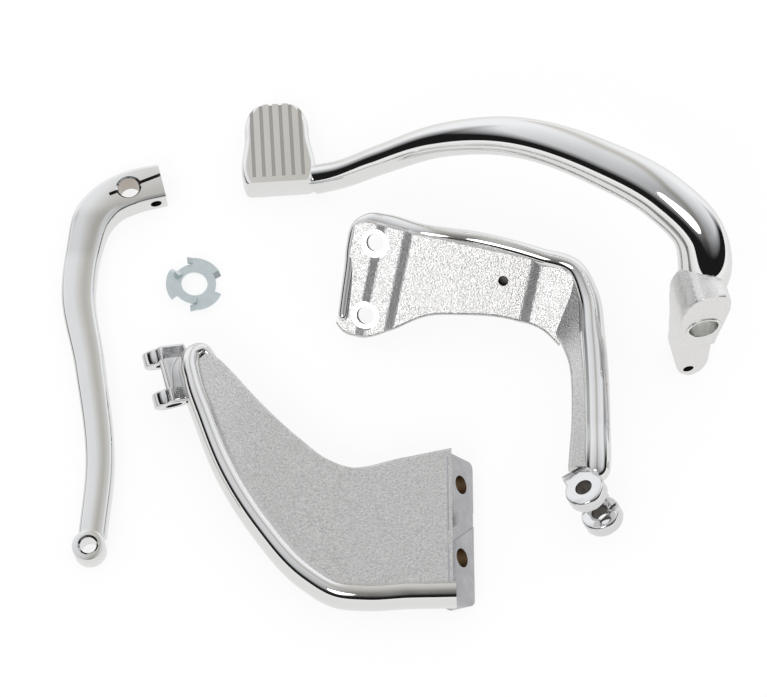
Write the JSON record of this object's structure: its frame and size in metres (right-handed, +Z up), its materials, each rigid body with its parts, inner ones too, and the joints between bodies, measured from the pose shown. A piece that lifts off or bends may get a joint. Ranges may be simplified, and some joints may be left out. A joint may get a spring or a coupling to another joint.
{
  "type": "motorcycle mid controls",
  "caption": "Chromed motorcycle mid control kit laid out flat: shift lever, brake pedal with pivot bush, lock washer, left and right foot peg supports with clevis ends.",
  "frame": {"origin": "centre of the set's footprint, on the floor", "axes": "+X to the viewer's right along the longest side, +Y away from the viewer, +Z up from the floor"},
  "size_m": [0.39, 0.3286, 0.131],
  "materials": {
    "polished_chrome": "mirror-polished chrome plate",
    "cast_chrome": "chrome plate over a pebbled casting with polished rims",
    "zinc_plate": "pale zinc-plated pressed steel",
    "bearing_steel": "bright turned bush"
  },
  "bodies": {
    "root": {"shift_lever": "polished_chrome", "lock_washer": "zinc_plate", "brake_pedal": "polished_chrome", "pedal_bushing": "bearing_steel", "right_peg_support": "cast_chrome", "left_peg_support": "cast_chrome"}
  },
  "joints": []
}
